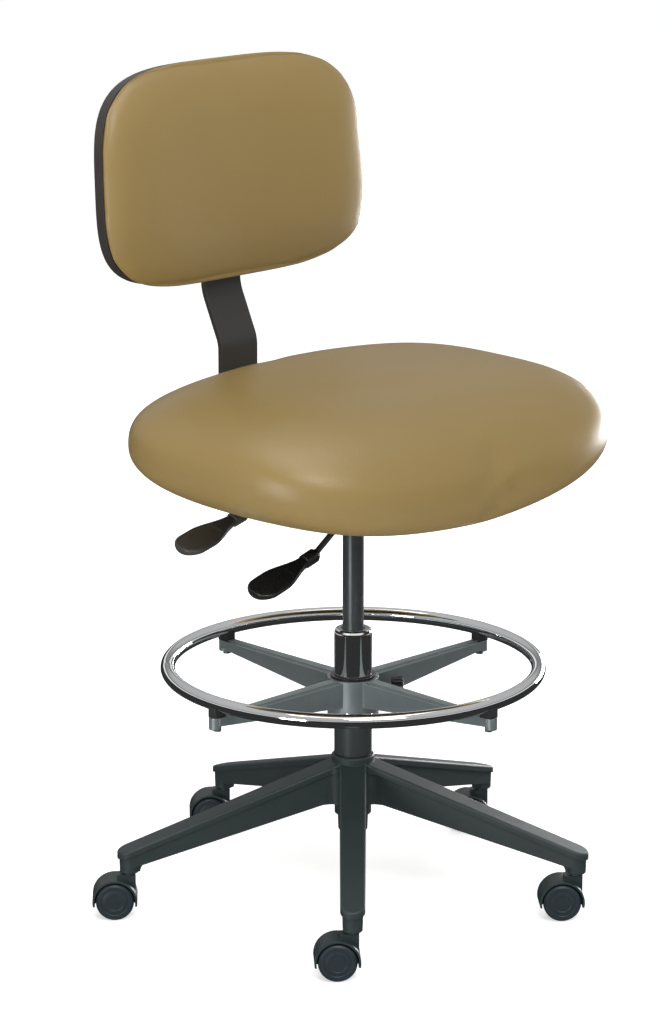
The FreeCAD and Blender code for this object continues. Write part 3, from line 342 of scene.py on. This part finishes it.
def stuffed(piece, look, heldShare, contour):
    start = [v.co.copy() for v in piece.data.vertices]
    held = piece.vertex_groups.new(name="held")
    for index, point in enumerate(start):
        held.add([index], heldShare(point), "REPLACE")
    cloth = piece.modifiers.new("stuffing", "CLOTH")
    settings = cloth.settings
    settings.quality = stuffingLook["quality"]
    settings.mass = stuffingLook["mass"]
    settings.tension_stiffness = look["stiffness"]
    settings.compression_stiffness = look["stiffness"]
    settings.shear_stiffness = look["stiffness"] / stuffingLook["shearShare"]
    settings.bending_stiffness = look["bending"]
    settings.use_pressure = True
    settings.uniform_pressure_force = look["pressure"]
    settings.effector_weights.gravity = 0.0
    settings.vertex_group_mass = "held"
    cloth.collision_settings.use_collision = False
    for step in range(1, look["steps"] + 1):
        bpy.context.scene.frame_set(step)
    grown = piece.evaluated_get(bpy.context.evaluated_depsgraph_get())
    after = [v.co.copy() for v in grown.data.vertices]
    piece.modifiers.remove(cloth)
    bpy.context.scene.frame_set(1)
    for vertex, old, new in zip(piece.data.vertices, start, after):
        push = new - old
        if push.length > look["cap"]:
            push *= look["cap"] / push.length
        vertex.co = old + push
    piece.vertex_groups.clear()
    rounding = piece.modifiers.new("ease", "SMOOTH")
    rounding.factor = stuffingLook["easing"]
    rounding.iterations = look["after"]
    apply(piece)
    for vertex in piece.data.vertices:
        vertex.co = contour(vertex.co.copy())
    finer = piece.modifiers.new("finer", "SUBSURF")
    finer.levels = finer.render_levels = 1
    apply(piece)
    pick(piece)
    bpy.ops.object.shade_smooth()
    return piece


seatLook = {"cuts": 47, "after": 9, "stiffness": 30.0, "bending": 12.0, "pressure": 4.0, "steps": 18,
            "cap": 0.005, "coverHalf": (0.208, 0.156), "coverTop": 0.587, "centreY": -0.034,
            "halfWidth": 0.322, "halfDepth": 0.224, "outline": 3.3, "middle": 0.637, "crown": 0.083,
            "belly": 0.096, "crownPower": 2.7, "bellyPower": 2.2, "endPower": 2.5, "noseDrop": 0.031,
            "noseStart": 0.2, "cornerLift": 0.3, "slope": 0.02,
            "dish": 0.009, "rearRise": 0.004, "shrink": 0.992,
            "nearest": 0.5, "farthest": 2.0, "halvings": 22, "tuckFrom": 1.03, "tuckTo": 1.10,
            "tuckGap": 0.0005, "heldUpTo": (0.004, 0.020), "heldWithin": (1.08, 1.22),
            "panDepth": 0.045, "panReach": (0.25, 0.80)}


def ovalShare(point, halfWidth, halfDepth, centreY, power=3.0):     # 0 at the middle, 1 at that outline
    x = abs(point.x) / halfWidth
    y = abs(point.y - centreY) / halfDepth
    return (x ** power + y ** power) ** (1.0 / power)


def insideSeat(x, y, z):
    look = seatLook
    share = abs(y) / look["halfDepth"]
    if share >= 1.0:
        return False
    wide = look["halfWidth"] * (1.0 - share ** look["outline"]) ** (1.0 / look["outline"])
    tall = (1.0 - share ** look["endPower"]) ** (1.0 / look["endPower"])
    power = look["crownPower"] if z > 0 else look["bellyPower"]
    tall *= look["crown"] if z > 0 else look["belly"]
    return (abs(x) / wide) ** power + (abs(z) / tall) ** power < 1.0


def makeSeatForm():
    look = seatLook
    form = quadBall(look["cuts"])
    for vertex in form.data.vertices:
        way = Vector((vertex.co.x * look["halfWidth"], vertex.co.y * look["halfDepth"],
                      vertex.co.z * (look["crown"] if vertex.co.z > 0 else look["belly"])))
        near, far = look["nearest"], look["farthest"]
        for _ in range(look["halvings"]):
            middle = (near + far) / 2
            if insideSeat(*(way * middle)):
                near = middle
            else:
                far = middle
        point = way * near * look["shrink"]
        front = max(0.0, -point.y / look["halfDepth"] - look["noseStart"]) / (1.0 - look["noseStart"])
        point.y += look["centreY"]
        drop = look["noseDrop"] * (1.0 - look["cornerLift"] * (point.x / look["halfWidth"]) ** 2)
        point.z += look["middle"] - drop * front ** 2 + look["slope"] * point.y
        vertex.co = point
    # the vinyl is drawn up round the board and stapled flat under it
    for vertex in form.data.vertices:
        width, depth = look["coverHalf"]
        reach = ovalShare(vertex.co, width, depth, look["centreY"])
        under = 1.0 - easing(reach, look["tuckFrom"], look["tuckTo"])
        if vertex.co.z < look["coverTop"] and under > 0:
            vertex.co.z += (look["coverTop"] + look["tuckGap"] - vertex.co.z) * under
    return form


def seatHeld(point):            # what lies under the board is held, the rest swells
    look = seatLook
    low, high = look["heldUpTo"]
    below = 1.0 - easing(point.z, look["coverTop"] + low, look["coverTop"] + high)
    width, depth = look["coverHalf"]
    inside = 1.0 - easing(ovalShare(point, width, depth, look["centreY"]), *look["heldWithin"])
    return max(0.0, min(1.0, below * inside))


def seatContour(point):         # a shallow pan to sit in, and a fuller roll at the rear
    look = seatLook
    reach = ovalShare(point, look["halfWidth"], look["halfDepth"], look["centreY"])
    top = easing(point.z, look["middle"], look["middle"] + look["panDepth"])
    pan = 1.0 - easing(reach, *look["panReach"])
    rear = easing(point.y, look["centreY"], look["centreY"] + look["halfDepth"])
    point.z += top * (look["rearRise"] * rear * (1.0 - pan) - look["dish"] * pan)
    return point


seatCushion = stuffed(makeSeatForm(), seatLook, seatHeld, seatContour)
finishPiece(seatCushion, "seat_cushion_cover", "seat", "tan_vinyl", "seat_cushion")
print("seat cushion made,", len(seatCushion.data.polygons), "faces")


backLook = {"cuts": 35, "after": 1, "stiffness": 16.0, "bending": 1.2, "pressure": 4.0, "steps": 18,
            "cap": 0.004, "centre": (0.0, 0.253, 0.950), "recline": 5.0, "halfWidth": 0.235,
            "halfHeight": 0.143, "outline": 3.7, "taper": 0.035, "curve": 1.3, "rim": 0.015, "floor": 0.0042,
            "thick": 0.053, "widestPast": 0.0050, "edgeRoll": 0.075,
            "edgeSpread": 0.4, "rollShare": 0.80, "crownShare": 0.20, "rearPower": 9,
            "tucked": 0.0044, "proud": 0.0022,
            "rimBefore": 0.0005, "rimAfter": 0.0015, "heldPast": 0.012}
backPlace = (Matrix.Translation(backLook["centre"])
             @ Matrix.Rotation(math.radians(-backLook["recline"]), 4, "X"))


def makeBackForm():
    look = backLook
    form = quadBall(look["cuts"])
    widest = look["rim"] + look["widestPast"]
    for vertex in form.data.vertices:
        x, forward, up = vertex.co
        share = min(1.0, math.hypot(x, up))
        turn = math.atan2(up, x)
        if forward > 0:
            fromEdge = (1.0 - share) * look["halfHeight"] * (1.0 + look["edgeSpread"] * abs(x))
            inward = min(1.0, fromEdge / look["edgeRoll"])
            roll = (1.0 - (1.0 - inward) ** 2) ** 0.5
            rise = look["rollShare"] * roll + look["crownShare"] * (1.0 - share ** 2)
            depth = widest + (look["thick"] - widest) * rise
        else:
            power = look["rearPower"]
            depth = widest - (widest - look["floor"]) * (1 - share ** power) ** (1 / power)
        outside = easing(depth, look["rim"] - look["rimBefore"], look["rim"] + look["rimAfter"])
        tuck = look["tucked"] - (look["proud"] + look["tucked"]) * outside
        power = look["outline"]
        reach = ((abs(math.cos(turn)) / (look["halfWidth"] - tuck)) ** power
                 + (abs(math.sin(turn)) / (look["halfHeight"] - tuck)) ** power) ** (-1 / power)
        across, height = share * reach * math.cos(turn), share * reach * math.sin(turn)
        across *= 1.0 - look["taper"] * height / look["halfHeight"]
        depth += across ** 2 / (2 * look["curve"])
        vertex.co = Vector((across, -depth, height))
    form.matrix_world = backPlace
    settle(form)
    return form


def backHeld(point):            # everything inside the shell's rim is held, the face is free
    local = backPlace.inverted() @ point
    depth = -local.y - local.x ** 2 / (2 * backLook["curve"])
    return 1.0 - easing(depth, backLook["rim"], backLook["rim"] + backLook["heldPast"])


backCushion = stuffed(makeBackForm(), backLook, backHeld, lambda point: point)
finishPiece(backCushion, "back_cushion_cover", "backrest", "tan_vinyl", "back_cushion")
print("back cushion made,", len(backCushion.data.polygons), "faces")


# foot ring: one bent tube, butt welded, with the weld dressed to a slight swelling
ringLook = {"middle": 0.2445, "tube": 0.0095, "height": 0.3158, "around": 224, "section": 32,
            "weldAt": 140.0, "weldHalf": 0.9, "weldRise": 0.00022}
bpy.ops.mesh.primitive_torus_add(major_radius=ringLook["middle"], minor_radius=ringLook["tube"],
                                 major_segments=ringLook["around"], minor_segments=ringLook["section"],
                                 location=(0, 0, ringLook["height"]))
ring = bpy.context.active_object
settle(ring)
weldWay = Vector((math.cos(math.radians(ringLook["weldAt"])),
                  math.sin(math.radians(ringLook["weldAt"])), 0))
for vertex in ring.data.vertices:
    flat = Vector((vertex.co.x, vertex.co.y, 0))
    core = flat.normalized() * ringLook["middle"] + Vector((0, 0, ringLook["height"]))
    if flat.normalized().dot(weldWay) > math.cos(math.radians(ringLook["weldHalf"])):
        vertex.co += (vertex.co - core).normalized() * ringLook["weldRise"]
smooth(ring)
finishPiece(ring, "footring_hoop", "footring", "chrome", "footring_tube")
print("foot ring made")


# lever paddles: a leaf-shaped grip with a raised rim round its thumb recess, and a stepped socket
paddleLook = {"cuts": 47, "length": 0.112, "half": 0.0225, "neck": 0.0085, "thick": 0.011, "socket": 0.016,
              "flareEnd": 0.072, "roll": 14.0, "square": 2.8, "rim": 0.0034, "recess": 0.0011,
              "recessFrom": 0.048, "endRound": 0.005, "hollowEase": 0.0026,
              "hollowStart": 0.003, "thinBelow": 0.006, "socketRadius": 0.0094, "socketLength": 0.020,
              "socketBehind": 0.4, "stepIn": 0.0024, "stepOut": 0.004, "edge": 0.0009, "smooth": 40.0}


def paddleHalf(reach):          # half width at a distance from the neck
    look = paddleLook
    wide = look["neck"] + (look["half"] - look["neck"]) * easing(reach, look["socket"], look["flareEnd"])
    past = (reach - (look["length"] - look["half"])) / look["half"]
    if past > 0:
        wide *= math.sqrt(max(0.0, 1.0 - past ** 2))
    start = 1.0 - reach / look["endRound"]
    if start > 0:
        wide *= math.sqrt(max(0.0, 1.0 - start ** 2))
    return wide


def makePaddle(name, body, slot, nodeName, neckPlace, slope):
    look = paddleLook
    paddle = quadBall(look["cuts"])
    for vertex in paddle.data.vertices:
        along, across, up = vertex.co
        reach = look["length"] * (0.5 - math.asin(max(-1.0, min(1.0, along))) / math.pi)
        turn = math.atan2(up, across)
        wide = paddleHalf(reach)
        side = wide * math.copysign(abs(math.cos(turn)) ** (2 / look["square"]), math.cos(turn))
        thick = look["thick"] / 2 * min(1.0, wide / look["thinBelow"]) ** 0.5
        height = thick * math.copysign(abs(math.sin(turn)) ** (2 / look["square"]), math.sin(turn))
        fromEdge = min(wide - abs(side), look["length"] - reach)
        hollow = easing(fromEdge, look["rim"], look["rim"] + look["hollowEase"])
        hollow *= easing(reach, look["recessFrom"], look["recessFrom"] + look["hollowStart"])
        if height > 0:
            height -= look["recess"] * hollow
        vertex.co = Vector((-reach, side, height))
    finer = paddle.modifiers.new("finer", "SUBSURF")
    finer.levels = finer.render_levels = 1
    apply(paddle)
    paddle.matrix_world = (Matrix.Translation(neckPlace) @ Matrix.Rotation(math.radians(-slope), 4, "Y")
                           @ Matrix.Rotation(math.radians(look["roll"]), 4, "X"))
    settle(paddle)
    bpy.ops.mesh.primitive_cylinder_add(vertices=48, radius=look["socketRadius"], depth=look["socketLength"],
                                        location=(-look["socketLength"] * look["socketBehind"], 0, 0),
                                        rotation=(0, math.radians(90), 0))
    socket = bpy.context.active_object
    settle(socket)
    bpy.ops.object.mode_set(mode="EDIT")
    bpy.ops.mesh.select_mode(type="FACE")
    selectFaces(socket, lambda f: f.normal.x > 0.9)
    bpy.ops.mesh.inset(thickness=look["stepIn"])
    bpy.ops.mesh.extrude_region_move(TRANSFORM_OT_translate={"value": (look["stepOut"], 0, 0)})
    bpy.ops.object.mode_set(mode="OBJECT")
    edges = socket.modifiers.new("edges", "BEVEL")
    edges.width = look["edge"]
    edges.segments = 3
    apply(socket)
    socket.matrix_world = Matrix.Translation(neckPlace) @ Matrix.Rotation(math.radians(-slope), 4, "Y")
    settle(socket)
    pick(paddle)
    socket.select_set(True)
    bpy.ops.object.join()
    smooth(paddle, look["smooth"])
    return finishPiece(paddle, name, body, slot, nodeName)


makePaddle("height_lever_grip", "height_lever", "black_plastic", "height_lever_paddle",
           Vector((-0.127, -0.052, 0.499)), 16.0)
makePaddle("back_lever_grip", "back_lever", "grey_plastic", "back_lever_paddle",
           Vector((-0.174, 0.030, 0.547)), 14.0)
print("levers made")


# caster wheels: one moulded wheel, copied to the ten places
wheelLook = {"radius": 0.025, "width": 0.0155, "shoulder": 0.003, "heading": 47.0, "dish": 0.0009,
             "ringAt": 0.0045, "ringWall": 0.0007, "ringWidth": 0.0016, "capIn": 0.0038, "capRise": 0.0003,
             "capWall": 0.0006, "capDip": 0.0004, "tread": 0.0016, "segments": 72, "smooth": 32.0}


def makeWheel():
    look = wheelLook
    bpy.ops.mesh.primitive_cylinder_add(vertices=look["segments"], radius=look["radius"],
                                        depth=look["width"])
    wheel = bpy.context.active_object
    bpy.ops.object.mode_set(mode="EDIT")
    bpy.ops.mesh.select_mode(type="FACE")
    selectFaces(wheel, lambda f: abs(f.normal.z) > 0.9)
    bpy.ops.mesh.inset(thickness=look["shoulder"])
    bpy.ops.object.mode_set(mode="OBJECT")
    for vertex in wheel.data.vertices:      # a round shoulder from tread to face
        if vertex.co.xy.length > look["radius"] - 0.0001:
            vertex.co.z -= math.copysign(look["shoulder"], vertex.co.z)
    bpy.ops.object.mode_set(mode="EDIT")
    mesh = bmesh.from_edit_mesh(wheel.data)
    for edge in mesh.edges:
        circle = all(abs(v.co.xy.length - look["radius"]) < 0.0002 for v in edge.verts)
        edge.select_set(circle and abs(edge.verts[0].co.z - edge.verts[1].co.z) < 0.0001)
    bmesh.update_edit_mesh(wheel.data)
    bpy.ops.mesh.bevel(offset=look["tread"], segments=3, affect="EDGES")
    selectFaces(wheel, lambda f: f.normal.z > 0.99 and f.calc_center_median().xy.length < 0.004)
    bpy.ops.mesh.inset(thickness=look["ringAt"])
    bpy.ops.mesh.inset(thickness=look["ringWall"], depth=-look["dish"])
    bpy.ops.mesh.inset(thickness=look["ringWidth"], depth=look["dish"] * 0.5)
    bpy.ops.mesh.inset(thickness=look["capIn"], depth=look["capRise"])
    bpy.ops.mesh.inset(thickness=look["capWall"], depth=-look["capDip"])
    bpy.ops.object.mode_set(mode="OBJECT")
    return wheel


wheelPattern = makeWheel()
for number in range(1, 6):
    for side in ("left", "right"):
        nodeName = f"caster_{number}_wheel_{side}"
        low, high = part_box(nodeName)
        hoodLow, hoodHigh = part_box(f"caster_{number}_hood")
        away = (low + high) / 2 - (hoodLow + hoodHigh) / 2
        axleWay = Vector((math.cos(math.radians(wheelLook["heading"])),
                          math.sin(math.radians(wheelLook["heading"])), 0))
        if away.dot(axleWay) < 0:
            axleWay = -axleWay
        wheel = bpy.data.objects.new(nodeName, wheelPattern.data.copy())
        bpy.context.scene.collection.objects.link(wheel)
        wheel.matrix_world = (Matrix.Translation((low + high) / 2)
                              @ axleWay.to_track_quat("Z", "Y").to_matrix().to_4x4())
        settle(wheel)
        smooth(wheel, wheelLook["smooth"])
        finishPiece(wheel, f"{nodeName}_moulded", bodyOfNode[nodeName], "wheel_nylon", nodeName)
bpy.data.objects.remove(wheelPattern)
print("wheels made")


# floor and light
stageLook = {"floor": 60.0, "pale": (0.90, 0.90, 0.895), "glow": 0.50, "rough": 0.9,
             "sky": ((0.0, 0.035), (0.10, 0.05), (0.13, 0.95), (0.20, 0.95), (0.25, 0.16),
                     (0.38, 0.50), (1.0, 0.62))}
bpy.ops.mesh.primitive_plane_add(size=stageLook["floor"], location=(0, 0, lowest.z))
floor = bpy.context.active_object
floor.name = "floor"
paper = bpy.data.materials.new("paper")
paper.use_nodes = True
paperShader = paper.node_tree.nodes["Principled BSDF"]
paperShader.inputs["Base Color"].default_value = (*stageLook["pale"], 1.0)
paperShader.inputs["Roughness"].default_value = stageLook["rough"]
paperShader.inputs["Emission Color"].default_value = (1.0, 1.0, 1.0, 1.0)
paperShader.inputs["Emission Strength"].default_value = stageLook["glow"]
floor.data.materials.append(paper)
floor.visible_glossy = False    # polished metal shows the dim studio, not the paper
floor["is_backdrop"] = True

# the studio: dark at the horizon, one bright band of strip lamps above it, soft light overhead
world = bpy.data.worlds.new("studio")
bpy.context.scene.world = world
world.use_nodes = True
skyNodes, skyLinks = world.node_tree.nodes, world.node_tree.links
direction = skyNodes.new("ShaderNodeTexCoord")
splitWay = skyNodes.new("ShaderNodeSeparateXYZ")
ramp = skyNodes.new("ShaderNodeValToRGB")
skyLinks.new(direction.outputs["Generated"], splitWay.inputs["Vector"])
skyLinks.new(splitWay.outputs["Z"], ramp.inputs["Fac"])
skyLinks.new(ramp.outputs["Color"], skyNodes["Background"].inputs["Color"])
while len(ramp.color_ramp.elements) < len(stageLook["sky"]):
    ramp.color_ramp.elements.new(0.5)
for element, (position, grey) in zip(ramp.color_ramp.elements, stageLook["sky"]):
    element.position = position
    element.color = (grey, grey, grey, 1.0)

lamps = {
    "lowRight": {"place": (3.1, 0.6, 0.40), "size": (1.8, 0.75), "power": 90.0, "aim": (0, 0, 0.8)},
    "lowLeft": {"place": (-3.2, -0.6, 0.42), "size": (0.8, 0.9), "power": 32.0, "aim": (0, 0, 0.8)},
    "front": {"place": (-1.4, -2.4, 3.2), "size": (2.0, 1.4), "power": 60.0, "aim": (0, 0, 0.8)},
    "top": {"place": (-0.3, -0.2, 3.6), "size": (2.6, 2.6), "power": 46.0, "aim": (0, 0, 0)},
}
for name, look in lamps.items():
    lampData = bpy.data.lights.new(name, "AREA")
    lampData.shape = "RECTANGLE"
    lampData.size, lampData.size_y = look["size"]
    lampData.energy = look["power"]
    lamp = bpy.data.objects.new(name, lampData)
    bpy.context.scene.collection.objects.link(lamp)
    lamp.location = look["place"]
    lamp.visible_camera = False
    lamp.rotation_euler = (Vector(look["aim"]) - lamp.location).to_track_quat("-Z", "Y").to_euler()
bpy.context.scene.view_settings.view_transform = "Standard"
bpy.context.scene.view_settings.look = "None"
print("stage lit")

lowest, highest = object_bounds()
